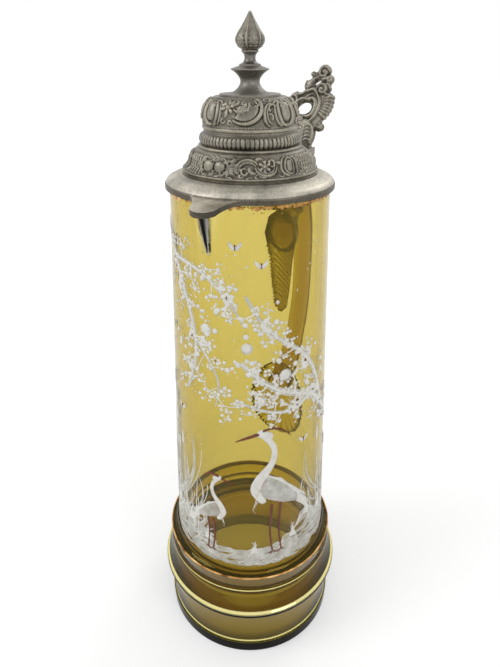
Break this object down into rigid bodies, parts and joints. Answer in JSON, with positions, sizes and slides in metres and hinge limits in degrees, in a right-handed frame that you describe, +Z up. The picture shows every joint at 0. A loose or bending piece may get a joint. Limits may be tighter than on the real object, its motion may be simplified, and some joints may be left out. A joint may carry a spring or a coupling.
{
  "type": "lidded glass tankard",
  "caption": "Tall tapered glass tankard with a stepped foot, applied handle and pouring lip, and a hinged domed pewter lid with an openwork thumb-lift.",
  "frame": {"origin": "on the vessel's axis, at the surface the foot stands on", "axes": "+Z up along the vessel's axis; the pouring lip points to -Y, the handle and the hinge are on +Y"},
  "size_m": [0.125, 0.1625, 0.3885],
  "materials": {
    "amber_glass": "polished olive-amber glass",
    "pewter": "dull aged pewter"
  },
  "bodies": {
    "vessel": {"glass_body": "amber_glass", "glass_foot": "amber_glass", "glass_handle": "amber_glass", "handle_strap": "pewter", "hinge_base": "pewter", "hinge_pin": "pewter", "hinge_cap_left": "pewter", "hinge_cap_right": "pewter"},
    "lid": {"lid_brim": "pewter", "lid_lower_band": "pewter", "lid_reeded_ring": "pewter", "lid_crown": "pewter", "lid_tang": "pewter", "thumb_lift": "pewter", "finial_base": "pewter", "finial_neck": "pewter", "finial_bud": "pewter", "finial_stud": "pewter", "finial_nut": "pewter"}
  },
  "joints": [
    {"name": "lid_hinge", "type": "hinge", "parent": "vessel", "child": "lid", "pos_m": [0, 0.062, 0.3113], "axis": [-1, 0, 0], "range_deg": [0, 95]}
  ]
}
